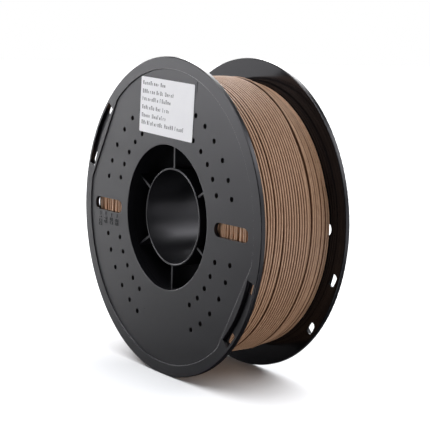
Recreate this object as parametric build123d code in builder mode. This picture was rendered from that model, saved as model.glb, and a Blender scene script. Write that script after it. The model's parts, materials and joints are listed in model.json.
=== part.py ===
from build123d import *
import math
import os

os.makedirs("parts", exist_ok=True)

# Filament spool. The axis is Y, the labelled front is at -Y, +Z is up and the
# origin is the spool's centre. Sketches on Plane.XZ offsets look at the front,
# with X to the right and Z up, and a positive offset lies towards the front.

# Flanges
spool_radius = 100.0
half_width = 32.75
rim_thickness = 3.2
rim_fillet = 0.5
face_recess = 0.65
recess_radius = 92.5
recess_flat = 87.2
edge_fillet = 0.3
opening_radius = 45.5
inner_face = half_width - rim_thickness
recessed_face = half_width - face_recess

# Viewing slots on the horizontal diameter
slot_centre = 70.0
slot_length = 34.0
slot_width = 8.6

# Small holes: each ring's angles are counted from the X axis in every quadrant
small_hole_radius = 1.65
outer_ring_radius = 72.5
outer_ring_angles = (15.5, 24.5, 34.5, 45.5, 55.5, 64.5)
inner_ring_radius = 58.1
inner_ring_angles = (20.0, 30.0, 40.0, 50.0, 60.0)

# Clip pockets that hold the strand's free end, two per flange, opposite each other
clip_angle = 150.0
pocket_inner_radius = 91.5
pocket_outer_radius = 98.0
pocket_half_angle = 14.3
pocket_depth = 2.2
clip_hole_reach = 93.3
clip_hole_offset = 19.0
clip_hole_width = 4.5
clip_hole_length = 8.0
clip_hole_fillet = 2.0

# Fill scale below the left slot, and the corner mark for the label
tick_xs = (-80.3, -73.5, -66.0, -59.0)
tick_z = -6.5
tick_width = 0.5
tick_length = 2.4
mark_height = 0.2
corner_mark_x = 32.0
corner_mark_z = 85.6
corner_mark_leg = 6.4
corner_mark_width = 0.7

# Label
label_x = -1.3
label_z = 68.0
label_width = 60.4
label_height = 35.0
label_turn = -3.2
label_corner = 1.0
label_thickness = 0.2

# Hub: a drum, a tube for the spindle and webs between them
drum_radius = 48.0
tube_bore_radius = 29.5
tube_outer_radius = 30.95
tube_half_length = 27.1
tube_fillet = 0.4
web_count = 6
web_first_angle = 30.0
web_thickness = 1.45
web_half_length = 26.2

# Snap joint between a flange's spigot and the drum's end
spigot_length = 2.6
spigot_radius = 46.7
joint_gap = 0.15
bead_height = 0.25
bead_half_width = 0.5
bead_centre = 1.4

# Filament: one strand, given as its wound layers and its two ends
strand = 1.75
winding_gap = 0.1
winding_half_width = 29.35
full_layers_radius = 78.0
outer_layers_radius = 86.2
shoulder_radius = 84.5
shoulder_width = 3.6
top_layer_radius = 88.2
top_layer_start = -25.6
top_layer_end = 13.2
last_turns_radius = 88.4
last_turns_start = 14.1
last_turns_end = 23.7
end_round = 0.8

# Free end: it leaves the winding, slopes out through a clip hole of the rear
# flange, crosses the pocket and slopes back in through the other hole
free_end_slope = 23.0
free_end_cruise = 31.75
free_end_start_angle = -42.0
free_end_start_radius = 89.65
free_end_start_y = 22.3
free_end_corner = (92.2, -32.6)
free_end_reach = 93.4
free_end_tail = 27.5
free_end_approach_bend = 19.0
free_end_pocket_bend = 10.0

# Start end: it slopes in through a slot in the drum
start_angle = -60.0
start_y = 22.0
start_slope = 35.0
start_length = 20.0
start_inside = 6.0
start_slot_length = 9.0
start_slot_width = 2.4


def ring_sector(inner_radius, outer_radius, half_angle):
    """Return a sector of a ring, centred on the X axis."""
    with BuildSketch() as sector:
        with BuildLine():
            inner_arc = CenterArc((0, 0), inner_radius, -half_angle, 2 * half_angle)
            outer_arc = CenterArc((0, 0), outer_radius, -half_angle, 2 * half_angle)
            Line(inner_arc @ 0, outer_arc @ 0)
            Line(inner_arc @ 1, outer_arc @ 1)
        make_face()
    return sector.sketch


def clip_hole():
    """Return a clip hole's outline, flat towards the axis and round outwards."""
    with BuildSketch() as outline:
        Rectangle(clip_hole_width, clip_hole_length)
        fillet(outline.vertices().group_by(Axis.X)[-1], clip_hole_fillet)
    return outline.sketch


def quadrant_places(radius, angles):
    """Return the places at these angles on a circle, in all four quadrants."""
    places = []
    for angle in angles:
        x = radius * math.cos(math.radians(angle))
        z = radius * math.sin(math.radians(angle))
        places += [(x, z), (-x, z), (-x, -z), (x, -z)]
    return places


def flange():
    """Return the front flange without its marks. The rear one mirrors it."""
    with BuildPart() as plate:
        with BuildSketch(Plane.XZ.offset(inner_face)):
            Circle(spool_radius)
        extrude(amount=rim_thickness)
        fillet(plate.edges().filter_by(GeomType.CIRCLE), rim_fillet)

        # The face is recessed inside the rim, with a straight side at each pocket
        with BuildSketch(Plane.XZ.offset(half_width)):
            Circle(recess_radius)
            Rectangle(
                2 * recess_flat,
                2 * spool_radius,
                rotation=clip_angle,
                mode=Mode.INTERSECT,
            )
        extrude(amount=-face_recess, mode=Mode.SUBTRACT)
        fillet(plate.faces().sort_by(Axis.Y)[0].inner_wires().edges(), edge_fillet)

        # The clip pockets
        with BuildSketch(Plane.XZ.offset(half_width)):
            with PolarLocations(0, 2, start_angle=clip_angle):
                add(ring_sector(pocket_inner_radius, pocket_outer_radius, pocket_half_angle))
        extrude(amount=-pocket_depth, mode=Mode.SUBTRACT)

        # Everything that goes right through
        with BuildSketch(Plane.XZ.offset(half_width)):
            Circle(opening_radius)
            with Locations((-slot_centre, 0), (slot_centre, 0)):
                SlotOverall(slot_length, slot_width)
            with Locations(*quadrant_places(outer_ring_radius, outer_ring_angles)):
                Circle(small_hole_radius)
            with Locations(*quadrant_places(inner_ring_radius, inner_ring_angles)):
                Circle(small_hole_radius)
            with PolarLocations(0, 2, start_angle=clip_angle):
                with Locations(
                    (clip_hole_reach, -clip_hole_offset),
                    (clip_hole_reach, clip_hole_offset),
                ):
                    add(clip_hole())
        extrude(amount=-2 * rim_thickness, mode=Mode.SUBTRACT)

        # Spigot with a snap bead, which enters the drum's end
        with BuildSketch(Plane.XY):
            with BuildLine():
                Polyline(
                    (opening_radius, -inner_face),
                    (spigot_radius, -inner_face),
                    (spigot_radius, -inner_face + bead_centre - bead_half_width),
                    (spigot_radius + bead_height, -inner_face + bead_centre),
                    (spigot_radius, -inner_face + bead_centre + bead_half_width),
                    (spigot_radius, -inner_face + spigot_length),
                    (opening_radius, -inner_face + spigot_length),
                    close=True,
                )
            make_face()
        revolve(axis=Axis.Y)
        rims = plate.edges().filter_by(GeomType.CIRCLE).filter_by_position(
            Axis.Y, -recessed_face - edge_fillet, -recessed_face + edge_fillet
        )
        opening_edge = rims.filter_by(lambda edge: abs(edge.radius - opening_radius) < edge_fillet)
        fillet(opening_edge, edge_fillet)
    return plate.part


def ring_section(profile):
    """Return the solid of a closed radius and Y profile, turned about the axis."""
    with BuildPart() as ring:
        with BuildSketch(Plane.XY):
            with BuildLine():
                Polyline(*profile, close=True)
            make_face()
        revolve(axis=Axis.Y)
    return ring.part


def strand_along(path_points, bends):
    """Return a round strand that follows straight runs with these bends."""
    with BuildPart() as cord:
        with BuildLine() as route:
            if bends:
                FilletPolyline(*path_points, radius=bends)
            else:
                Line(*path_points)
        with BuildSketch(Plane(route.line @ 0, z_dir=route.line % 0)):
            Circle(strand / 2)
        sweep()
    return cord.part


# Front flange: it also carries the fill scale and the label's corner mark
with BuildPart() as front_flange:
    add(flange())
    with BuildSketch(Plane.XZ.offset(recessed_face)):
        with Locations(*[(x, tick_z) for x in tick_xs]):
            Rectangle(tick_width, tick_length)
        with Locations((corner_mark_x, corner_mark_z)):
            Rectangle(corner_mark_leg, corner_mark_width, align=(Align.MAX, Align.MAX))
            Rectangle(corner_mark_width, corner_mark_leg, align=(Align.MAX, Align.MAX))
    extrude(amount=mark_height)
front_flange.part.label = "front_flange"
export_step(front_flange.part, "parts/front_flange.step")

with BuildPart() as rear_flange:
    mirror(flange(), about=Plane.XZ)
rear_flange.part.label = "rear_flange"
export_step(rear_flange.part, "parts/rear_flange.step")

# Drum: both ends are rebated for the spigots, with a groove for each bead
with BuildPart() as drum:
    with BuildSketch(Plane.XY):
        with BuildLine():
            rebate_radius = spigot_radius + joint_gap
            rebate_end = inner_face - spigot_length - joint_gap
            groove_y = inner_face - bead_centre
            Polyline(
                (drum_radius, 0),
                (drum_radius, inner_face),
                (rebate_radius, inner_face),
                (rebate_radius, groove_y + bead_half_width),
                (rebate_radius + bead_height, groove_y),
                (rebate_radius, groove_y - bead_half_width),
                (rebate_radius, rebate_end),
                (opening_radius, rebate_end),
                (opening_radius, 0),
                close=True,
            )
        make_face()
        mirror(about=Plane.XZ)
    revolve(axis=Axis.Y)
    # The slot that the strand's start goes in through
    with BuildSketch(Plane.XZ.offset(-start_y - start_slot_width / 2)):
        with PolarLocations(drum_radius, 1, start_angle=start_angle):
            Rectangle(start_slot_length, start_slot_length)
    extrude(amount=start_slot_width, mode=Mode.SUBTRACT)
drum.part.label = "drum"
export_step(drum.part, "parts/drum.step")

with BuildPart() as hub_tube:
    with BuildSketch(Plane.XZ.offset(-tube_half_length)):
        Circle(tube_outer_radius)
        Circle(tube_bore_radius, mode=Mode.SUBTRACT)
    extrude(amount=2 * tube_half_length)
    fillet(hub_tube.edges().filter_by(GeomType.CIRCLE), tube_fillet)
hub_tube.part.label = "hub_tube"
export_step(hub_tube.part, "parts/hub_tube.step")

# Webs: each one's ends follow the tube's and the drum's walls
for number in range(web_count):
    with BuildPart() as web:
        with BuildSketch(Plane.XZ.offset(-web_half_length)):
            Circle(opening_radius)
            Circle(tube_outer_radius, mode=Mode.SUBTRACT)
            web_angle = web_first_angle + number * 360 / web_count
            with PolarLocations((tube_outer_radius + opening_radius) / 2, 1, start_angle=web_angle):
                Rectangle(opening_radius - tube_bore_radius, web_thickness, mode=Mode.INTERSECT)
        extrude(amount=2 * web_half_length)
    web.part.label = f"hub_web_{number + 1}"
    export_step(web.part, f"parts/hub_web_{number + 1}.step")

with BuildPart() as label:
    with BuildSketch(Plane.XZ.offset(recessed_face)):
        with Locations(Location((label_x, label_z), label_turn)):
            RectangleRounded(label_width, label_height, label_corner)
    extrude(amount=label_thickness)
label.part.label = "label"
export_step(label.part, "parts/label.step")

# The winding, from the drum outwards
winding_inner = drum_radius + winding_gap
with BuildPart() as filament_inner_layers:
    add(
        ring_section(
            [
                (winding_inner, -winding_half_width),
                (full_layers_radius, -winding_half_width),
                (full_layers_radius, winding_half_width),
                (winding_inner, winding_half_width),
            ]
        )
    )
filament_inner_layers.part.label = "filament_inner_layers"
export_step(filament_inner_layers.part, "parts/filament_inner_layers.step")

with BuildPart() as filament_outer_layers:
    add(
        ring_section(
            [
                (full_layers_radius, -winding_half_width),
                (shoulder_radius, -winding_half_width),
                (outer_layers_radius, -winding_half_width + shoulder_width),
                (outer_layers_radius, winding_half_width - shoulder_width),
                (shoulder_radius, winding_half_width),
                (full_layers_radius, winding_half_width),
            ]
        )
    )
filament_outer_layers.part.label = "filament_outer_layers"
export_step(filament_outer_layers.part, "parts/filament_outer_layers.step")

with BuildPart() as filament_top_layer:
    add(
        ring_section(
            [
                (outer_layers_radius, top_layer_start),
                (top_layer_radius, top_layer_start + end_round),
                (top_layer_radius, top_layer_end - end_round),
                (outer_layers_radius, top_layer_end),
            ]
        )
    )
filament_top_layer.part.label = "filament_top_layer"
export_step(filament_top_layer.part, "parts/filament_top_layer.step")

with BuildPart() as filament_last_turns:
    add(
        ring_section(
            [
                (outer_layers_radius, last_turns_start),
                (last_turns_radius, last_turns_start + end_round),
                (last_turns_radius, last_turns_end - end_round),
                (outer_layers_radius, last_turns_end),
            ]
        )
    )
filament_last_turns.part.label = "filament_last_turns"
export_step(filament_last_turns.part, "parts/filament_last_turns.step")

# Free end, in the rear pocket's own frame: reach along its radius, then across
pocket_frame = Plane((0, 0, 0), x_dir=Vector(1, 0, 0).rotate(Axis.Y, -clip_angle), z_dir=(0, -1, 0))
hole_slope = math.tan(math.radians(free_end_slope))
floor_middle = (half_width - pocket_depth + inner_face) / 2
cruise_offset = clip_hole_offset - (free_end_cruise - floor_middle) / hole_slope
lead_angle = math.radians(free_end_start_angle)
corner_reach, corner_across = free_end_corner
free_end_stations = [
    (
        free_end_start_radius * math.cos(lead_angle),
        free_end_start_radius * math.sin(lead_angle),
        free_end_start_y,
    ),
    (corner_reach, corner_across, floor_middle + (corner_across + clip_hole_offset) * hole_slope),
    (free_end_reach, -cruise_offset, free_end_cruise),
    (free_end_reach, cruise_offset, free_end_cruise),
    (free_end_reach, free_end_tail, floor_middle - (free_end_tail - clip_hole_offset) * hole_slope),
]
free_end_points = [
    pocket_frame.from_local_coords((reach, across, -height))
    for reach, across, height in free_end_stations
]
free_end_bends = [free_end_approach_bend, free_end_pocket_bend, free_end_pocket_bend]
with BuildPart() as filament_free_end:
    add(strand_along(free_end_points, free_end_bends))
filament_free_end.part.label = "filament_free_end"
export_step(filament_free_end.part, "parts/filament_free_end.step")

# Start end, in a frame whose X axis points out through the drum's slot
start_frame = Plane((0, 0, 0), x_dir=Vector(1, 0, 0).rotate(Axis.Y, -start_angle), z_dir=(0, -1, 0))
wall_middle = (opening_radius + drum_radius) / 2
slope = math.radians(start_slope)
outside = start_length - start_inside
start_points = [
    start_frame.from_local_coords((wall_middle + run * math.sin(slope), run * math.cos(slope), -start_y))
    for run in (-outside, start_inside)
]
with BuildPart() as filament_start_end:
    add(strand_along(start_points, []))
    with BuildSketch(Plane.XZ.offset(-half_width)):
        Circle(winding_inner)
    extrude(amount=2 * half_width, mode=Mode.INTERSECT)
filament_start_end.part.label = "filament_start_end"
export_step(filament_start_end.part, "parts/filament_start_end.step")

print("free end bends", free_end_bends, "strand diameter", strand)
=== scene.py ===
import json
import math
import random

import bpy
import numpy as np
from mathutils import Matrix, Vector


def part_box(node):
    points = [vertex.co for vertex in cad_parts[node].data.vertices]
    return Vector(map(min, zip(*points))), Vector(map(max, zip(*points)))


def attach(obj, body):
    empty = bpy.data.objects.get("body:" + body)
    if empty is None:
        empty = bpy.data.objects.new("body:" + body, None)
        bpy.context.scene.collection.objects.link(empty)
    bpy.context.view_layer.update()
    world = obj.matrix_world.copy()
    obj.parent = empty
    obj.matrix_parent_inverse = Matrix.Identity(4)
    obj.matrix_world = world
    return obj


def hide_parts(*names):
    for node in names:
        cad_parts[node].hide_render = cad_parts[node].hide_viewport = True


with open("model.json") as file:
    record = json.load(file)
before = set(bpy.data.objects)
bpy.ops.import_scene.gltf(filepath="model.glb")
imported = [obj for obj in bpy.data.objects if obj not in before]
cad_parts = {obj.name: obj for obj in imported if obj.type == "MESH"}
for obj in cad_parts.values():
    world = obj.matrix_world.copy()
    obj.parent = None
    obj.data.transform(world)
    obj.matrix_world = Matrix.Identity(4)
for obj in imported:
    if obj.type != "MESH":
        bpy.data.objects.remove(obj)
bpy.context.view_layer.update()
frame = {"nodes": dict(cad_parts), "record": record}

# A wound filament spool. Metres, the spool's axis is Y, the labelled flange is
# at -Y and Z is up. Angles are counted from +X towards +Z, seen from the front.

MM = 0.001
rng = random.Random(7)

# Sizes read from the frame
SPOOL_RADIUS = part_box("front_flange")[1].x
DRUM_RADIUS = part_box("drum")[1].x
WINDING_HALF_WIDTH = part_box("filament_inner_layers")[1].y
LABEL_LOW, LABEL_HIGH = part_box("label")
FACE_Y = LABEL_HIGH.y

# The strand and how it is wound
STRAND = 1.75 * MM
STRAND_RADIUS = STRAND / 2
TURN_PITCH = 1.88 * MM
LAYER_COUNT = 27
DRUM_CLEARANCE = 0.15 * MM
FIRST_LAYER = DRUM_RADIUS + STRAND_RADIUS + DRUM_CLEARANCE
TOP_LAYER = 87.25 * MM
LAYER_PITCH = (TOP_LAYER - FIRST_LAYER) / (LAYER_COUNT - 1)

# How finely strands are made: sides of a section, stations round a turn, and steps
# along a bend
TUBE_SIDES = 12
TURN_STEPS = 220
ARC_STEPS = 8

# A turn's waver is the sum of these waves round it, drawn from the turn's own seed.
# Each group's seeds start at its own number. A turn wavers both in radius and in
# place, and the second of the two adds RADIUS_SEEDS or PLACE_SEEDS to its seed.
WAVER_CYCLES = (1, 2, 3, 5)
TOP_SEEDS = 50
UNDER_SEEDS = 300
LAST_SEEDS = 400
EDGE_SEEDS = 500
LOW_SEEDS = 900
RADIUS_SEEDS = 200
PLACE_SEEDS = 1000
MARK_SEED = 31


# ---------------------------------------------------------------- camera
CAMERA_AZIMUTH = 55.0
CAMERA_ELEVATION = 7.70
CAMERA_ROLL = 1.44
CAMERA_DISTANCE = 0.7924
CAMERA_LENS = 103.66
CAMERA_SENSOR = 36.0
CAMERA_SHIFT = (0.01771, -0.00077)


def add_camera():
    """Place the camera on its sphere round the origin, level apart from a small roll."""
    azimuth = math.radians(CAMERA_AZIMUTH)
    elevation = math.radians(CAMERA_ELEVATION)
    back = Vector(
        (
            math.sin(azimuth) * math.cos(elevation),
            -math.cos(azimuth) * math.cos(elevation),
            math.sin(elevation),
        )
    )
    data = bpy.data.cameras.new("camera")
    data.lens = CAMERA_LENS
    data.sensor_width = CAMERA_SENSOR
    data.shift_x, data.shift_y = CAMERA_SHIFT
    camera = bpy.data.objects.new("camera", data)
    aim = back.to_track_quat("Z", "Y").to_matrix()
    aim = aim @ Matrix.Rotation(math.radians(CAMERA_ROLL), 3, "Z")
    camera.matrix_world = Matrix.Translation(back * CAMERA_DISTANCE) @ aim.to_4x4()
    bpy.context.scene.collection.objects.link(camera)
    bpy.context.scene.camera = camera


# ---------------------------------------------------------------- light and floor
# Softboxes: name, degrees from the front towards +X, degrees up, distance, width, height, watts
SOFTBOXES = (
    ("left_front", -35, 10, 1.8, 0.6, 0.6, 17.0),
    ("left_high", -35, 50, 1.8, 0.6, 0.6, 8.7),
    ("left_low", -58, -6, 1.8, 0.6, 0.6, 0.75),
    ("left_middle", -58, 10, 1.8, 0.6, 0.6, 1.4),
    ("side_low", -82, -6, 1.8, 0.6, 0.6, 8.2),
    ("side", -82, 10, 1.8, 0.6, 0.6, 11.3),
    ("top", 0, 85, 1.6, 1.2, 1.2, 15.5),
    ("bounce_right", 100, -25, 1.8, 1.0, 1.0, 11.5),
    ("bounce_front", 60, -25, 1.8, 0.8, 0.8, 6.5),
    ("right", 100, 15, 1.8, 1.0, 1.0, 2.2),
    ("rear_right", 125, 10, 1.8, 1.0, 1.0, 1.5),
    ("rear_low", 142, -8, 1.8, 0.8, 0.8, 4.5),
    ("right_back", 150, 30, 1.8, 1.0, 1.0, 14.5),
    ("left_back", -140, 30, 1.8, 1.0, 1.0, 30.0),
)
# The light from all round: what comes from above, and the floor's bounce from below
SKY_LIGHT = 0.004
BOUNCE_LIGHT = 0.01
HORIZON_BLEND = 0.1
# The floor has a broad light of its own, for the soft shadow: strength, degrees across
# and degrees off the vertical
FLOOR_LIGHT = 5.8
FLOOR_LIGHT_SPREAD = 110.0
FLOOR_LIGHT_TILT = 7.0
FLOOR_GLOW = 0.02
FLOOR_SIZE = 12.0


def link_light(light, floor, only_floor):
    """Make a light reach only the floor, or everything but the floor."""
    group = bpy.data.collections.new(light.name + "_reach")
    group.objects.link(floor)
    state = "INCLUDE" if only_floor else "EXCLUDE"
    group.collection_objects[0].light_linking.link_state = state
    light.light_linking.receiver_collection = group


def add_lights(floor):
    """Add the softboxes, each facing the origin, and the floor's own overhead light."""
    for name, azimuth, elevation, distance, width, height, watts in SOFTBOXES:
        around, up = math.radians(azimuth), math.radians(elevation)
        level = math.cos(up)
        place = Vector((math.sin(around) * level, -math.cos(around) * level, math.sin(up)))
        data = bpy.data.lights.new(name, "AREA")
        data.shape = "RECTANGLE"
        data.size, data.size_y = width, height
        data.energy = watts
        light = bpy.data.objects.new(name, data)
        aim = place.to_track_quat("Z", "Y").to_matrix().to_4x4()
        light.matrix_world = Matrix.Translation(place * distance) @ aim
        bpy.context.scene.collection.objects.link(light)
        link_light(light, floor, False)
    data = bpy.data.lights.new("floor_light", "SUN")
    data.energy = FLOOR_LIGHT
    data.angle = math.radians(FLOOR_LIGHT_SPREAD)
    light = bpy.data.objects.new("floor_light", data)
    light.rotation_euler = (math.radians(-FLOOR_LIGHT_TILT), 0.0, 0.0)
    bpy.context.scene.collection.objects.link(light)
    link_light(light, floor, True)


def add_world():
    """White to the camera only, with a faint light from the sky and the floor."""
    world = bpy.data.worlds.new("studio")
    world.use_nodes = True
    tree = world.node_tree
    output = tree.nodes["World Output"]
    around = tree.nodes["Background"]
    around.inputs["Color"].default_value = (1.0, 1.0, 1.0, 1.0)
    direction = tree.nodes.new("ShaderNodeTexCoord")
    parts = tree.nodes.new("ShaderNodeSeparateXYZ")
    level = tree.nodes.new("ShaderNodeMapRange")
    level.inputs["From Min"].default_value = -HORIZON_BLEND
    level.inputs["From Max"].default_value = HORIZON_BLEND
    level.inputs["To Min"].default_value = BOUNCE_LIGHT
    level.inputs["To Max"].default_value = SKY_LIGHT
    tree.links.new(direction.outputs["Generated"], parts.inputs["Vector"])
    tree.links.new(parts.outputs["Z"], level.inputs["Value"])
    tree.links.new(level.outputs["Result"], around.inputs["Strength"])
    white = tree.nodes.new("ShaderNodeBackground")
    white.inputs["Color"].default_value = (1.0, 1.0, 1.0, 1.0)
    seen = tree.nodes.new("ShaderNodeLightPath")
    mix = tree.nodes.new("ShaderNodeMixShader")
    tree.links.new(seen.outputs["Is Camera Ray"], mix.inputs["Fac"])
    tree.links.new(around.outputs["Background"], mix.inputs[1])
    tree.links.new(white.outputs["Background"], mix.inputs[2])
    tree.links.new(mix.outputs["Shader"], output.inputs["Surface"])
    bpy.context.scene.world = world


# ---------------------------------------------------------------- materials
def new_material(name):
    """Return a material, its node tree and its Principled shader."""
    material = bpy.data.materials.new(name)
    material.use_nodes = True
    return material, material.node_tree, material.node_tree.nodes["Principled BSDF"]


def add_node(tree, kind, values=(), links=()):
    """Add a node, set its sockets by name and link other nodes' sockets into it."""
    node = tree.nodes.new(kind)
    for socket, value in dict(values).items():
        node.inputs[socket].default_value = value
    for socket, source in dict(links).items():
        tree.links.new(source, node.inputs[socket])
    return node


def add_math(tree, operation, values, links):
    """Add a math node and return its value."""
    node = add_node(tree, "ShaderNodeMath", values, links)
    node.operation = operation
    return node.outputs["Value"]


def add_ramp(tree, source, stops):
    """Add a colour ramp fed by source. Stops are (position, colour) pairs."""
    ramp = tree.nodes.new("ShaderNodeValToRGB")
    tree.links.new(source, ramp.inputs["Fac"])
    elements = ramp.color_ramp.elements
    while len(elements) < len(stops):
        elements.new(0.5)
    for element, (position, colour) in zip(elements, stops):
        element.position = position
        element.color = (*colour, 1.0)
    return ramp.outputs["Color"]


def add_range(tree, source, low, high):
    """Map source from 0..1 to low..high."""
    node = add_node(
        tree, "ShaderNodeMapRange", {"To Min": low, "To Max": high}, {"Value": source}
    )
    return node.outputs["Result"]


def add_noise(tree, vector, scale, detail, roughness=0.5):
    """Add a noise texture and return its value."""
    node = add_node(
        tree,
        "ShaderNodeTexNoise",
        {"Scale": scale, "Detail": detail, "Roughness": roughness},
        {"Vector": vector},
    )
    return node.outputs["Fac"]


def add_stretch(tree, vector, scale):
    """Stretch texture coordinates by a different factor along each axis."""
    node = add_node(tree, "ShaderNodeMapping", {"Scale": scale}, {"Vector": vector})
    return node.outputs["Vector"]


def multiply_colours(tree, first, second, factor):
    """Return the first colour darkened by the second."""
    mixed = tree.nodes.new("ShaderNodeMix")
    mixed.data_type = "RGBA"
    mixed.blend_type = "MULTIPLY"
    mixed.inputs["Factor"].default_value = factor
    tree.links.new(first, mixed.inputs["A"])
    tree.links.new(second, mixed.inputs["B"])
    return mixed.outputs["Result"]


def add_bump(tree, shader, height, strength, distance):
    """Bump the shader's surface by height."""
    node = add_node(
        tree, "ShaderNodeBump", {"Strength": strength, "Distance": distance}, {"Height": height}
    )
    tree.links.new(node.outputs["Normal"], shader.inputs["Normal"])


# The flanges' inner faces are polished, from this far out and between these heights
POLISHED_RADIUS = 50.0
POLISHED_HALF_WIDTH = 29.7


def polished_mask(tree, place):
    """Return 1 on the flanges' inner faces and 0 on every other face."""
    parts = add_node(tree, "ShaderNodeSeparateXYZ", {}, {"Vector": place})
    across = {"X": parts.outputs["X"], "Y": parts.outputs["Z"]}
    flat = add_node(tree, "ShaderNodeCombineXYZ", {}, across)
    reach = add_node(tree, "ShaderNodeVectorMath", {}, {0: flat.outputs["Vector"]})
    reach.operation = "LENGTH"
    height = add_math(tree, "ABSOLUTE", {}, {0: parts.outputs["Y"]})
    inside = add_math(tree, "LESS_THAN", {1: POLISHED_HALF_WIDTH * MM}, {0: height})
    outside = add_math(tree, "GREATER_THAN", {1: POLISHED_RADIUS * MM}, {0: reach.outputs["Value"]})
    return add_math(tree, "MULTIPLY", {}, {0: inside, 1: outside})


def plastic_material(name, specular):
    """Black moulded plastic: satin outside, polished on the flanges' inner faces."""
    material, tree, shader = new_material(name)
    place = add_node(tree, "ShaderNodeTexCoord").outputs["Object"]
    broad = add_noise(tree, place, scale=22.0, detail=4.0)
    grain = add_noise(tree, place, scale=1800.0, detail=2.0)
    stretched = add_stretch(tree, place, (0.5, 1.0, 2.0))
    flow = add_noise(tree, stretched, scale=60.0, detail=5.0, roughness=0.6)
    colour = add_ramp(
        tree, broad, [(0.3, (0.0055, 0.0055, 0.0068)), (0.7, (0.0070, 0.0070, 0.0088))]
    )
    tree.links.new(colour, shader.inputs["Base Color"])
    satin = add_range(tree, flow, 0.25, 0.34)
    rough = tree.nodes.new("ShaderNodeMix")
    tree.links.new(polished_mask(tree, place), rough.inputs["Factor"])
    tree.links.new(satin, rough.inputs["A"])
    tree.links.new(add_range(tree, flow, 0.12, 0.17), rough.inputs["B"])
    tree.links.new(rough.outputs["Result"], shader.inputs["Roughness"])
    add_bump(tree, shader, grain, strength=0.06, distance=0.1 * MM)
    shader.inputs["IOR"].default_value = 1.5
    # A specular level under 0.5 makes a copy that reflects less: painted shade
    shader.inputs["Specular IOR Level"].default_value = specular
    shader.inputs["Specular Tint"].default_value = (0.93, 0.92, 1.0, 1.0)
    return material


# The strand's tans, and the painted shade that darkens it from its top to the hollows beside it
STRAND_TANS = (
    (0.25, (0.365, 0.212, 0.130)),
    (0.55, (0.440, 0.266, 0.168)),
    (0.80, (0.490, 0.312, 0.204)),
)
VALLEY_PAINTED_SHADE = (
    (0.26, (1.0, 1.0, 1.0)),
    (0.60, (0.42, 0.35, 0.30)),
    (0.82, (0.18, 0.10, 0.060)),
)
# The section's angle as a part of the whole, from its top or bottom to its sides
QUARTER = 0.25


def filament_material(name, painted_lightening, paint_valley_shade):
    """Wood-coloured strand: mottled tan with a soft shine. A lightening factor above 1 lightens
    its colour as painted light, and the hollow flag paints shade on it where the turns touch."""
    material, tree, shader = new_material(name)
    place = add_node(tree, "ShaderNodeTexCoord").outputs["Object"]
    along = add_node(tree, "ShaderNodeUVMap").outputs["UV"]
    mottle = add_noise(tree, place, scale=260.0, detail=4.0, roughness=0.6)
    stretched = add_stretch(tree, along, (60.0, 22.0, 1.0))
    lines = add_noise(tree, stretched, scale=6.0, detail=3.0)
    specks = add_noise(tree, place, scale=2600.0, detail=2.0, roughness=0.7)
    # A lightening factor above 1 is painted light
    tans = [(at, [part * painted_lightening for part in tan]) for at, tan in STRAND_TANS]
    colour = add_ramp(tree, mottle, tans)
    speck_colour = add_ramp(tree, specks, [(0.30, (0.72, 0.67, 0.62)), (0.42, (1.0, 1.0, 1.0))])
    mixed = multiply_colours(tree, colour, speck_colour, 0.6)
    # Painted shade: the colour darkens towards the strand's sides, where the turns touch
    if paint_valley_shade:
        across = add_node(tree, "ShaderNodeSeparateXYZ", {}, {"Vector": along}).outputs["Y"]
        folded = add_math(tree, "PINGPONG", {1: QUARTER}, {0: across})
        depth = add_node(tree, "ShaderNodeMapRange", {"From Max": QUARTER}, {"Value": folded})
        shade = add_ramp(tree, depth.outputs["Result"], VALLEY_PAINTED_SHADE)
        mixed = multiply_colours(tree, mixed, shade, 1.0)
    tree.links.new(mixed, shader.inputs["Base Color"])
    tree.links.new(add_range(tree, lines, 0.42, 0.58), shader.inputs["Roughness"])
    height = add_math(tree, "ADD", {}, {0: specks, 1: lines})
    add_bump(tree, shader, height, strength=0.15, distance=0.1 * MM)
    shader.inputs["IOR"].default_value = 1.46
    return material


def paper_material():
    """White label paper with a faint tooth."""
    material, tree, shader = new_material("label_paper")
    place = add_node(tree, "ShaderNodeTexCoord").outputs["Object"]
    tooth = add_noise(tree, place, scale=1400.0, detail=3.0)
    cloud = add_noise(tree, place, scale=60.0, detail=3.0)
    colour = add_ramp(tree, cloud, [(0.3, (0.760, 0.758, 0.795)), (0.7, (0.800, 0.798, 0.832))])
    tree.links.new(colour, shader.inputs["Base Color"])
    tree.links.new(add_range(tree, cloud, 0.50, 0.62), shader.inputs["Roughness"])
    add_bump(tree, shader, tooth, strength=0.12, distance=0.05 * MM)
    return material


def ink_material():
    """Grey printing on the label, uneven as thermal print is."""
    material, tree, shader = new_material("label_ink")
    place = add_node(tree, "ShaderNodeTexCoord").outputs["Object"]
    wear = add_noise(tree, place, scale=900.0, detail=3.0)
    colour = add_ramp(tree, wear, [(0.3, (0.04, 0.04, 0.05)), (0.7, (0.10, 0.10, 0.12))])
    tree.links.new(colour, shader.inputs["Base Color"])
    tree.links.new(add_range(tree, wear, 0.55, 0.7), shader.inputs["Roughness"])
    return material


def floor_material():
    """Plain pale floor."""
    material, tree, shader = new_material("floor")
    place = add_node(tree, "ShaderNodeTexCoord").outputs["Object"]
    cloud = add_noise(tree, place, scale=2.0, detail=2.0)
    colour = add_ramp(tree, cloud, [(0.3, (0.87, 0.88, 0.905)), (0.7, (0.89, 0.90, 0.925))])
    tree.links.new(colour, shader.inputs["Base Color"])
    shader.inputs["Roughness"].default_value = 0.8
    shader.inputs["Emission Color"].default_value = (1.0, 1.0, 1.0, 1.0)
    shader.inputs["Emission Strength"].default_value = FLOOR_GLOW
    return material


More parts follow.
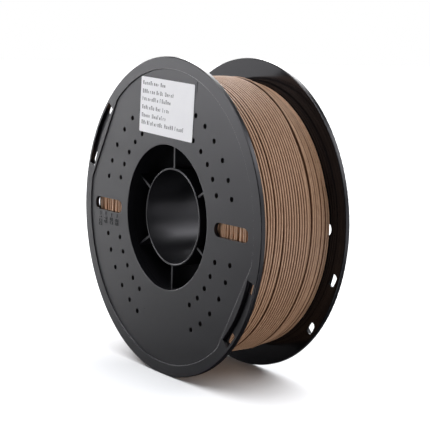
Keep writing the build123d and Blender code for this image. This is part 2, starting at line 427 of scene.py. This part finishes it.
# ---------------------------------------------------------------- meshes
def new_piece(name, vertices, faces, material, uvs=None):
    """Make a smooth mesh object. uvs holds one pair for each face corner."""
    mesh = bpy.data.meshes.new(name)
    mesh.from_pydata(vertices, [], faces)
    if uvs is not None:
        layer = mesh.uv_layers.new(name="UVMap")
        layer.data.foreach_set("uv", np.asarray(uvs, np.float32).ravel())
    mesh.polygons.foreach_set("use_smooth", [True] * len(mesh.polygons))
    mesh.materials.append(material)
    mesh.update()
    piece = bpy.data.objects.new(name, mesh)
    bpy.context.scene.collection.objects.link(piece)
    return piece


def tube_mesh(vertices, lengths, sides, closed):
    """Return a tube's vertices, faces and UVs. vertices holds ring after ring, and
    lengths the way along the strand at each ring, with one more if it is closed."""
    count = len(vertices) // sides
    steps = count if closed else count - 1
    i, j = np.meshgrid(np.arange(steps), np.arange(sides), indexing="ij")
    i_next, j_next = (i + 1) % count, (j + 1) % sides
    corners = ((i, j), (i_next, j), (i_next, j_next), (i, j_next))
    faces = np.stack([a * sides + b for a, b in corners], -1).reshape(-1, 4).tolist()
    unrolled = ((i, j), (i + 1, j), (i + 1, j + 1), (i, j + 1))
    uvs = [np.stack([lengths[a], b / sides], -1) for a, b in unrolled]
    uvs = np.stack(uvs, -2).reshape(-1, 2)
    if not closed:
        faces.append(list(range(sides))[::-1])
        faces.append([(count - 1) * sides + k for k in range(sides)])
        uvs = np.concatenate([uvs, np.zeros((2 * sides, 2))])
    return vertices, faces, uvs


def strand_tube(angles, radii, ys, sides, closed):
    """Return the tube of a strand that runs round the axis, so that its section lies
    in the plane of the axis and the radius."""
    around = np.arange(sides) * 2 * math.pi / sides
    reach = radii[:, None] + STRAND_RADIUS * np.cos(around)[None, :]
    height = ys[:, None] + STRAND_RADIUS * np.sin(around)[None, :]
    x = reach * np.cos(angles)[:, None]
    z = reach * np.sin(angles)[:, None]
    vertices = np.stack([x, height, z], -1).reshape(-1, 3)
    lengths = np.concatenate([[0.0], np.cumsum(np.abs(np.diff(angles)) * radii[1:])])
    lengths = np.append(lengths, lengths[-1] + (lengths[1] - lengths[0]))
    return tube_mesh(vertices, lengths, sides, closed)


def route_tube(points, sides):
    """Return the tube of a strand along a route of points, without twist."""
    last = len(points) - 1
    side = Vector((0, 1, 0))
    vertices = []
    for i, point in enumerate(points):
        tangent = (points[min(i + 1, last)] - points[max(i - 1, 0)]).normalized()
        side = (side - tangent * side.dot(tangent)).normalized()
        other = tangent.cross(side)
        for k in range(sides):
            angle = 2 * math.pi * k / sides
            offset = other * math.cos(angle) + side * math.sin(angle)
            vertices.append(tuple(point + offset * STRAND_RADIUS))
    lengths = [0.0]
    for a, b in zip(points, points[1:]):
        lengths.append(lengths[-1] + (b - a).length)
    return tube_mesh(np.array(vertices), np.array(lengths), sides, False)


def rounded_route(points, bends, step):
    """Return evenly spaced points along straight runs joined by arcs of these radii."""
    route = [points[0]]
    for k, bend in enumerate(bends):
        corner, before, after = points[k + 1], points[k], points[k + 2]
        into, out = (corner - before).normalized(), (after - corner).normalized()
        turn = into.angle(out)
        start = corner - into * (bend * MM * math.tan(turn / 2))
        across = (out - into * into.dot(out)).normalized()
        middle = start + across * bend * MM
        for n in range(ARC_STEPS + 1):
            angle = turn * n / ARC_STEPS
            away = across * bend * MM * math.cos(angle)
            route.append(middle - away + into * bend * MM * math.sin(angle))
    route.append(points[-1])
    even = [route[0]]
    for a, b in zip(route, route[1:]):
        parts = max(1, round((b - a).length / step))
        even += [a + (b - a) * (n + 1) / parts for n in range(parts)]
    return even


def join_tubes(name, tubes, material):
    """Make one piece of several strand tubes."""
    vertices, faces, uvs, start = [], [], [], 0
    for tube_vertices, tube_faces, tube_uvs in tubes:
        vertices.append(tube_vertices)
        faces += [[corner + start for corner in face] for face in tube_faces]
        uvs.append(tube_uvs)
        start += len(tube_vertices)
    return new_piece(name, np.concatenate(vertices).tolist(), faces, material, np.concatenate(uvs))


# ---------------------------------------------------------------- wavering turns
def degrees(angles):
    """Return angles in degrees between -180 and 180."""
    return np.degrees((angles + math.pi) % (2 * math.pi) - math.pi)


def smooth_window(angles, low, high, soft):
    """Return 1 between low and high degrees, easing to 0 over soft degrees."""
    at = degrees(angles)
    rise = np.clip((at - low + soft) / soft, 0, 1)
    fall = np.clip((high + soft - at) / soft, 0, 1)
    both = np.minimum(rise, fall)
    return both * both * (3 - 2 * both)


def wobble(angles, seed, size):
    """Return a smooth closed waver round the turn, of about this size."""
    draw = random.Random(seed)
    total = np.zeros_like(angles)
    for cycle in WAVER_CYCLES:
        share = draw.uniform(-1, 1) / cycle
        total += share * np.cos(cycle * angles + draw.uniform(0, 2 * math.pi))
    return total * size


def closed_turn(radius, y, seed, size, steps, sides):
    """Return one closed turn of strand with a small waver."""
    angles = np.arange(steps) * 2 * math.pi / steps
    radii = radius + wobble(angles, seed, size)
    ys = y + wobble(angles, seed + PLACE_SEEDS, size)
    return strand_tube(angles, radii, ys, sides, True)


# ---------------------------------------------------------------- the winding
# Sizes are in mm from here on. A window round the spool is given as the angle that it
# starts at, the angle that it ends at, and the degrees that it takes to open or close.

# The outer layer runs from the front flange towards the rear. Each space is from one
# turn's middle to the next, at angle 20.
TOP_LAST_Y = 12.6 * MM
TOP_SPACES = (
    *(1.85, 1.90, 1.90, 2.30, 1.95, 1.90, 2.40, 1.90, 1.95, 1.88),
    *(1.86, 1.90, 2.00, 1.85, 1.95, 1.90, 1.85, 1.85, 1.86, 1.60),
)
TOP_WAVER = 0.04
TOP_LEAN = 60
# A gap opens in front of a turn and pushes the turns before it towards the front:
# (turn, width, and its window)
TOP_GAPS = (
    (10, 1.45, -110, -28, 48),
    (21, 0.75, 28, 38, 13),
    (9, 0.30, 44, 110, 16),
    (6, 0.30, 38, 110, 14),
    (14, 0.12, -20, 25, 20),
    (16, 0.12, -25, 12, 20),
)
PUSHED_TURNS = 8
# The turns stand a little higher over the top of the spool, and drift to the rear
TOP_SWELL = 0.3
SWELL_WINDOW = (60, 110, 50)
TOP_DRIFT = 0.45
DRIFT_WINDOW = (45, 110, 25)
# Towards the front flange the turns lie lower: they fall from this y, by this drop,
# over this way
FRONT_LOW_Y = -24.4
FRONT_LOW_DROP = 1.2
FRONT_LOW_WAY = 2.5
# The last turn of the layer lies lower outside its window
LOW_LAST_DROP = 1.45
LOW_LAST_WINDOW = (28, 150, 14)


def top_turn_places():
    """Return the middle of each outer turn at angle 20, front to rear."""
    places = [TOP_LAST_Y / MM]
    for space in reversed(TOP_SPACES):
        places.append(places[-1] - space)
    return np.array(places[::-1]) * MM


def gap_widths(angles, turn):
    """Return how far the open gaps push this turn towards the front."""
    push = np.zeros_like(angles)
    for at, width, *window in TOP_GAPS:
        if turn < at:
            fade = max(0.0, 1 - (at - 1 - turn) / PUSHED_TURNS)
            push += width * MM * fade * smooth_window(angles, *window)
    return push


def wound_path(places, seed, size, lean):
    """Return the angles, radii and places along one strand that takes these turns
    in order. It steps to the next turn at the far side, over the lean in degrees."""
    around = -math.pi + np.arange(TURN_STEPS) * 2 * math.pi / TURN_STEPS
    turned = np.arange(TURN_STEPS) / TURN_STEPS * 360
    to_next = np.clip((turned - (360 - lean / 2)) / lean, 0, 0.5)
    from_last = np.clip((lean / 2 - turned) / lean, 0, 0.5)
    angles, radii, ys = [], [], []
    for turn, place in enumerate(places):
        before = places[max(turn - 1, 0)]
        after = places[min(turn + 1, len(places) - 1)]
        y = place + (after - place) * to_next + (before - place) * from_last
        angles.append(around + turn * 2 * math.pi)
        radii.append(TOP_LAYER + wobble(around, seed + RADIUS_SEEDS + turn, size))
        ys.append(y - gap_widths(around, turn) + wobble(around, seed + turn, size))
    return np.concatenate(angles), np.concatenate(radii), np.concatenate(ys)


def swell(angles):
    """Return how much higher the outer turns stand at these angles."""
    return TOP_SWELL * MM * smooth_window(angles, *SWELL_WINDOW)


def top_layer_piece(material):
    """Make the outermost layer: one strand from the front flange to the wide gap."""
    places = top_turn_places()
    angles, radii, ys = wound_path(places, TOP_SEEDS, TOP_WAVER * MM, TOP_LEAN)
    ys = ys + TOP_DRIFT * MM * smooth_window(angles, *DRIFT_WINDOW)
    near_front = np.clip((FRONT_LOW_Y * MM - ys) / (FRONT_LOW_WAY * MM), 0, 1)
    radii = radii + swell(angles) - FRONT_LOW_DROP * MM * near_front
    is_last = angles > (len(places) - 1.5) * 2 * math.pi
    lower = LOW_LAST_DROP * MM * (1 - smooth_window(angles, *LOW_LAST_WINDOW))
    radii = radii - np.where(is_last, lower, 0.0)
    tube = strand_tube(angles, radii, ys, TUBE_SIDES, False)
    return join_tubes("filament_top_strands", [tube], material)


# The last turns run back from the rear flange to the wide gap: middle of each at
# angle 0, and how much lower than the outer layer it lies
LAST_PLACES = (22.60, 20.80, 19.00, 16.85, 15.10)
LAST_DROPS = (2.2, 1.6, 1.0, 0.4, 0.0)
LAST_WAVER = 0.05
LAST_LEAN = 70
# The other turns lie lower where the last one crosses them
CROSSING_DROP = 1.7
CROSSING_WINDOW = (76, 130, 26)
# The last turn drifts to the rear as it climbs over the others: angle, shift
LEAVING_ANGLE = 104.5
LEAVING_SHIFTS = (
    *((-180, 0.6), (-60, 0.0), (-30, -0.5), (0, 0.0), (30, 0.45), (45, 0.9), (60, 1.6)),
    *((75, 2.4), (84, 3.2), (92, 5.0), (LEAVING_ANGLE, 7.2)),
)
LEAVING_DROP = 0.2
LEAVING_WINDOW = (96, 120, 20)
# Stations on each side that the last turn's drift is averaged over
DRIFT_REACH = 6

# The free end's way through the clip in the rear flange, the same as the solid's. In
# the clip's own frame: distance from the axis, along the rim, and y
CLIP_ANGLE = 150.0
FREE_END = (
    (92.2, -32.6, 24.28),
    (93.4, -15.0, 31.75),
    (93.4, 15.0, 31.75),
    (93.4, 27.5, 26.44),
)
FREE_END_BENDS = (19.0, 10.0, 10.0)
FREE_END_STEP = 1.5


def clip_point(reach, along, y):
    """Return a point of the clip's frame in the spool's frame."""
    angle = math.radians(CLIP_ANGLE)
    x = reach * math.cos(angle) - along * math.sin(angle)
    z = reach * math.sin(angle) + along * math.cos(angle)
    return Vector((x, y, z)) * MM


def last_turns_piece(material):
    """Make the last turns and the free end as one strand, rear flange to wide gap,
    then over its own turns to the clip in the rear flange."""
    places = np.array(LAST_PLACES) * MM
    path = wound_path(places, LAST_SEEDS, LAST_WAVER * MM, LAST_LEAN)
    turn = np.floor((path[0] + math.pi) / (2 * math.pi)).astype(int)
    is_last = turn == len(places) - 1
    keep = ~(is_last & (degrees(path[0]) > LEAVING_ANGLE))
    angles, radii, ys, is_last = (values[keep] for values in (*path, is_last))

    drops = np.interp(angles / (2 * math.pi), range(len(places)), LAST_DROPS) * MM
    crossed = np.maximum(drops, CROSSING_DROP * MM)
    under = drops + (crossed - drops) * smooth_window(angles, *CROSSING_WINDOW)
    drops = np.where(is_last, np.minimum(drops, LEAVING_DROP * MM), under)
    raised = np.where(is_last, 1 - smooth_window(angles, *LEAVING_WINDOW), 1)
    radii = radii - drops + swell(angles) * raised

    shift_angles, shifts = zip(*LEAVING_SHIFTS)
    ys = ys + np.where(is_last, np.interp(degrees(angles), shift_angles, shifts), 0.0) * MM
    padded = np.pad(ys[-TURN_STEPS:], DRIFT_REACH, mode="reflect", reflect_type="odd")
    averaged = 2 * DRIFT_REACH + 1
    ys[-TURN_STEPS:] = np.convolve(padded, np.ones(averaged) / averaged, "valid")

    wound = [
        Vector((r * math.cos(a), y, r * math.sin(a))) for a, r, y in zip(angles, radii, ys)
    ]
    corners = [wound[-1]] + [clip_point(*place) for place in FREE_END]
    free = rounded_route(corners, FREE_END_BENDS, FREE_END_STEP * MM)
    tube = route_tube(wound + free[1:], TUBE_SIDES)
    return join_tubes("filament_last_turns_strand", [tube], material)


# Turns just under the outer ones. The first layer down stops where the low turns
# begin, and towards the flanges both layers fall away by 1 mm over UNDER_FALL_WAY
UNDER_TURNS = 31
UNDER_WAVER = 0.06
UNDER_END_Y = 23.9
UNDER_FALL_Y = 24.9
UNDER_FALL_WAY = 3
UNDER_STEPS = 150
UNDER_SIDES = 8
# Low turns at the winding's two edges: middle and radius, and the dip over the top
LOW_TURNS = (
    (-28.40, 86.3, 0.0),
    (-26.75, 86.3, 0.0),
    (24.95, 85.2, 0.8),
    (26.75, 85.3, 1.3),
    (28.45, 85.2, 2.3),
)
LOW_DIP_WINDOW = (32, 100, 28)
LOW_RADIUS_WAVER = 0.10
LOW_PLACE_WAVER = 0.06


def under_layer_tubes():
    """Return the turns just under the outer ones, and the low turns at both edges."""
    tubes = []
    for depth in (1, 2):
        shift = 0.5 * TURN_PITCH * (depth % 2)
        for turn in range(UNDER_TURNS):
            y = -WINDING_HALF_WIDTH + STRAND_RADIUS + shift + turn * TURN_PITCH
            if abs(y) > UNDER_END_Y * MM and depth == 1:
                continue
            if y > WINDING_HALF_WIDTH - STRAND_RADIUS:
                continue
            fall = MM * max(0.0, abs(y) / MM - UNDER_FALL_Y) / UNDER_FALL_WAY
            radius = TOP_LAYER - depth * LAYER_PITCH - fall
            seed = UNDER_SEEDS + 40 * depth + turn
            tubes.append(closed_turn(radius, y, seed, UNDER_WAVER * MM, UNDER_STEPS, UNDER_SIDES))
    angles = np.arange(TURN_STEPS) * 2 * math.pi / TURN_STEPS
    for index, (place, radius, dip) in enumerate(LOW_TURNS):
        radii = radius - dip * smooth_window(angles, *LOW_DIP_WINDOW)
        radii = radii * MM + wobble(angles, LOW_SEEDS + index, LOW_RADIUS_WAVER * MM)
        ys = place * MM + wobble(angles, LOW_SEEDS + 50 + index, LOW_PLACE_WAVER * MM)
        tubes.append(strand_tube(angles, radii, ys, TUBE_SIDES, True))
    return tubes


# Each layer's turns at the flanges lie unevenly, and at some radii a turn lies deeper
# than its neighbours
EDGE_WAVER = 0.14
EDGE_INSET_SPREAD = 0.28
EDGE_STAGGER = 0.30
EDGE_STEPS = 120
EDGE_SIDES = 10
DEEP_EDGES = (53.4, 60.2, 64.3, 67.6, 72.4, 77.2, 81.7)
DEEP_REACH = 0.75
DEEP_INSET = 2.4


def edge_tubes(side):
    """Return each layer's last turns at one flange, seen through its slots and holes."""
    tubes = []
    for layer in range(LAYER_COUNT - 2):
        radius = FIRST_LAYER + layer * LAYER_PITCH
        deep = min(abs(radius / MM - place) for place in DEEP_EDGES) < DEEP_REACH
        inset = (DEEP_INSET if deep else 0.0) + abs(rng.gauss(0, EDGE_INSET_SPREAD))
        inset += EDGE_STAGGER * (layer % 2)
        for column in range(3 if deep else 2):
            y = side * (WINDING_HALF_WIDTH - STRAND_RADIUS - inset * MM - column * TURN_PITCH)
            seed = EDGE_SEEDS + 100 * layer + 10 * column + side
            tubes.append(closed_turn(radius, y, seed, EDGE_WAVER * MM, EDGE_STEPS, EDGE_SIDES))
    return tubes


# The hidden turns' body lies this many layers and turns inside, with sloped edges
CORE_DEPTH = 2.6
CORE_EDGE_DROP = 1.5
CORE_EDGE_WIDTH = 2
CORE_CLEARANCE = 0.3
CORE_STEPS = 128


def winding_core(material):
    """Make the closed body of the hidden turns, under the strands that show."""
    inner, outer = DRUM_RADIUS + CORE_CLEARANCE * MM, TOP_LAYER - CORE_DEPTH * LAYER_PITCH
    half = WINDING_HALF_WIDTH - CORE_DEPTH * TURN_PITCH
    low, narrow = outer - CORE_EDGE_DROP * MM, half - CORE_EDGE_WIDTH * MM
    profile = [(inner, -half), (low, -half), (outer, -narrow)]
    profile += [(outer, narrow), (low, half), (inner, half)]
    size = len(profile)
    vertices, faces, uvs = [], [], []
    for step in range(CORE_STEPS):
        angle = step * 2 * math.pi / CORE_STEPS
        vertices += [(r * math.cos(angle), y, r * math.sin(angle)) for r, y in profile]
        a, b = step * size, (step + 1) % CORE_STEPS * size
        for k in range(size):
            n = (k + 1) % size
            faces.append([a + k, b + k, b + n, a + n])
            uvs += [(step, k), (step + 1, k), (step + 1, k + 1), (step, k + 1)]
    return new_piece("filament_hidden_turns", vertices, faces, material, uvs)


# The strand's start in the drum's slot: degrees it slopes, its angle round the drum,
# its y, the middle of the drum's wall, and how far it goes on inside
START_SLOPE = 35.0
START_ANGLE = -60.0
START_Y = 22.0
DRUM_WALL_MIDDLE = 46.75
START_INSIDE = 14.0
START_POINTS = 24


def start_end_piece(material):
    """Make the strand's start, which slopes in through the slot in the drum."""
    slope = math.radians(START_SLOPE)
    angle = math.radians(START_ANGLE)
    outward = Vector((math.cos(angle), 0, math.sin(angle)))
    along = Vector((math.sin(angle), 0, -math.cos(angle)))
    middle = outward * DRUM_WALL_MIDDLE * MM + Vector((0, START_Y * MM, 0))
    direction = (along * math.cos(slope) - outward * math.sin(slope)).normalized()
    outside = (FIRST_LAYER - DRUM_WALL_MIDDLE * MM) / math.sin(slope) / MM
    ways = np.linspace(-outside, START_INSIDE, START_POINTS)
    tube = route_tube([middle + direction * (way * MM) for way in ways], TUBE_SIDES)
    return join_tubes("filament_start_strand", [tube], material)


def add_winding(material, painted_lit_edge_material):
    """Make every piece of the strand and say which solid each stands for."""
    under = join_tubes("filament_under_strands", under_layer_tubes(), material)
    # The edge turns take the strand colour made lighter, painted light
    front = join_tubes("filament_front_edge_turns", edge_tubes(-1), painted_lit_edge_material)
    rear = join_tubes("filament_rear_edge_turns", edge_tubes(1), painted_lit_edge_material)
    stands_for = (
        (top_layer_piece(material), ("filament_top_layer",)),
        (last_turns_piece(material), ("filament_last_turns", "filament_free_end")),
        (under, ("filament_outer_layers",)),
        (winding_core(material), ("filament_inner_layers",)),
        (start_end_piece(material), ("filament_start_end",)),
        (front, ()),
        (rear, ()),
    )
    for piece, nodes in stands_for:
        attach(piece, "root")
        if nodes:
            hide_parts(*nodes)


# ---------------------------------------------------------------- label and scale marks
# The label is turned a little, and its lines start at this place left of its middle
LABEL_TURN = math.radians(-3.2)
LABEL_LEFT = -27.8
# Each printed line's middle, in mm above the label's middle, and its words' lengths in marks
LABEL_LINES = (
    (13.8, (9, 3)),
    (8.45, (7, 4, 5)),
    (3.75, (9, 6)),
    (-1.6, (7, 3, 4)),
    (-6.7, (5, 8)),
    (-11.3, (12, 5, 5)),
)
# A mark is one or two upright strokes joined by a bar, in parts of the full size
MARK_WIDTH = 1.55
MARK_HEIGHT = 2.6
MARK_SPACE = 2.25
WORD_SPACE = 1.3
STROKE = 0.48
BAR_THICKNESS = 0.8
LEAST_WIDTH = 0.72
MARK_HEIGHTS = (0.62, 0.62, 0.72, 1.0)
BAR_PLACES = (0.0, 0.5, 0.86)
TWO_STROKES = 0.75
FIXED_SPACE = 0.62
INK_THICKNESS = 0.02
INK_DEPTH = 0.01


def stroke_box(corners, low, high, vertices, faces):
    """Add one flat closed stroke: its four corners in the x-z plane, from y low to high."""
    start = len(vertices)
    for y in (low, high):
        vertices.extend((x * MM, y, z * MM) for x, z in corners)
    faces.append([start, start + 1, start + 2, start + 3])
    faces.append([start + 7, start + 6, start + 5, start + 4])
    for k in range(4):
        n = (k + 1) % 4
        faces.append([start + k, start + 4 + k, start + 4 + n, start + n])


def strokes_piece(name, vertices, faces, material):
    """Make a flat-shaded piece of strokes."""
    piece = new_piece(name, vertices, faces, material)
    piece.data.polygons.foreach_set("use_smooth", [False] * len(faces))
    return piece


def label_marks_piece(material):
    """Make the label's printed lines as meaningless marks, word by word."""
    draw = random.Random(MARK_SEED)
    middle = (LABEL_LOW + LABEL_HIGH) / 2 / MM
    turn = Matrix.Rotation(LABEL_TURN, 2)
    vertices, faces = [], []

    def stroke(u0, v0, u1, v1):
        """Add an upright or level stroke in the label's own frame."""
        corners = []
        for u, v in ((u0, v0), (u1, v0), (u1, v1), (u0, v1)):
            place = turn @ Vector((u, v))
            corners.append((middle.x + place.x, middle.z + place.y))
        low, high = LABEL_LOW.y - INK_THICKNESS * MM, LABEL_LOW.y + INK_DEPTH * MM
        stroke_box(corners, low, high, vertices, faces)

    for height, words in LABEL_LINES:
        u = LABEL_LEFT
        low = height - MARK_HEIGHT / 2
        for word in words:
            for mark in range(word):
                top = low + MARK_HEIGHT * (1.0 if mark == 0 else draw.choice(MARK_HEIGHTS))
                width = MARK_WIDTH * draw.uniform(LEAST_WIDTH, 1.0)
                stroke(u, low, u + STROKE, top)
                if draw.random() < TWO_STROKES:
                    stroke(u + width - STROKE, low, u + width, top)
                bar = low + (top - low) * draw.choice(BAR_PLACES)
                stroke(u + STROKE, bar, u + width - STROKE, bar + STROKE * BAR_THICKNESS)
                u += MARK_SPACE * (FIXED_SPACE + (1 - FIXED_SPACE) * width / MARK_WIDTH)
            u += WORD_SPACE
    return strokes_piece("label_marks", vertices, faces, material)


# The scale under the left slot: its ticks' x, and the plain numbers below them
SCALE_PLACES = ((-80.3, "100"), (-73.5, "75"), (-66.0, "50"), (-59.0, "25"))
SCALE_TOP = -8.8
SCALE_LETTER = 3.1
# Each digit's strokes on a grid 2 wide and 4 high, with 3 from digit to digit
DIGITS = {
    "0": ((0, 0, 2, 0), (2, 0, 2, 4), (2, 4, 0, 4), (0, 4, 0, 0)),
    "1": ((1, 0, 1, 4), (1, 4, 0.3, 3.3)),
    "2": ((0, 4, 2, 4), (2, 4, 2, 2), (2, 2, 0, 2), (0, 2, 0, 0), (0, 0, 2, 0)),
    "5": ((2, 4, 0, 4), (0, 4, 0, 2), (0, 2, 2, 2), (2, 2, 2, 0), (2, 0, 0, 0)),
    "7": ((0, 4, 2, 4), (2, 4, 0.8, 0)),
}
DIGIT_HEIGHT = 4
DIGIT_STEP = 3
DIGIT_STROKE = 0.20
SCALE_RISE = 0.15
SCALE_DEPTH = 0.05


def scale_numbers_piece(material):
    """Make the scale's raised numbers, read from the side."""
    grid = SCALE_LETTER / DIGIT_HEIGHT
    low, high = FACE_Y - SCALE_RISE * MM, FACE_Y + SCALE_DEPTH * MM
    vertices, faces = [], []
    for x, number in SCALE_PLACES:
        z = SCALE_TOP
        for digit in number:
            for u0, v0, u1, v1 in DIGITS[digit]:
                a = Vector((x + (v0 - DIGIT_HEIGHT / 2) * grid, z - u0 * grid))
                b = Vector((x + (v1 - DIGIT_HEIGHT / 2) * grid, z - u1 * grid))
                along = (b - a).normalized() * DIGIT_STROKE
                side = Vector((-along.y, along.x))
                a, b = a - along, b + along
                corners = [tuple(p) for p in (a - side, b - side, b + side, a + side)]
                stroke_box(corners, low, high, vertices, faces)
            z -= DIGIT_STEP * grid
    return strokes_piece("scale_numbers", vertices, faces, material)


# ---------------------------------------------------------------- build
def paint_nodes(slot_materials, painted_shade_rear_plastic):
    """Give each CAD node its slot's material, and the rear flange a copy of the plastic that
    reflects less, as painted shade.
    """
    for row in frame["record"]["subparts"]:
        node = frame["nodes"][row["node"]]
        is_rear = row["node"] == "rear_flange"
        node.data.materials.clear()
        node.data.materials.append(painted_shade_rear_plastic if is_rear else slot_materials[row["material_slot"]])


def add_floor():
    """Add the floor under the rims. The world and the softboxes give its bounce, so
    the floor itself adds none."""
    corners = ((-1, -1), (1, -1), (1, 1), (-1, 1))
    vertices = [(x * FLOOR_SIZE, y * FLOOR_SIZE, -SPOOL_RADIUS) for x, y in corners]
    floor = new_piece("floor", vertices, [(0, 1, 2, 3)], floor_material())
    floor.visible_diffuse = False
    floor.visible_glossy = False
    floor.visible_shadow = False
    return floor


add_camera()
add_world()

plastic = plastic_material("spool_plastic", 0.5)
# The rear flange gets a copy of the plastic that reflects less, painted shade that darkens it
painted_shade_rear_plastic = plastic_material("spool_plastic_rear_painted_shade", 0.36)
# The scale's raised numbers get a copy of the plastic that reflects far less, painted shade that
# darkens them
painted_shade_number_plastic = plastic_material("spool_plastic_numbers_painted_shade", 0.12)
filament = filament_material("filament", 1.0, True)
# The edge turns seen through the slots get the strand's colour made lighter, painted light
painted_lit_edge_filament = filament_material("filament_edges_painted_light", 1.3, False)
paper = paper_material()
ink = ink_material()
slot_materials = {"spool_plastic": plastic, "filament": filament, "label_paper": paper}
paint_nodes(slot_materials, painted_shade_rear_plastic)

add_winding(filament, painted_lit_edge_filament)
# The label's marks are print. The scale's numbers use the plastic copy with painted shade
for marks, slot in (
    (label_marks_piece(ink), "label_paper"),
    (scale_numbers_piece(painted_shade_number_plastic), "spool_plastic"),
):
    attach(marks, "root")
add_lights(add_floor())

scene = bpy.context.scene
scene.view_settings.view_transform = "Standard"
scene.view_settings.look = "None"
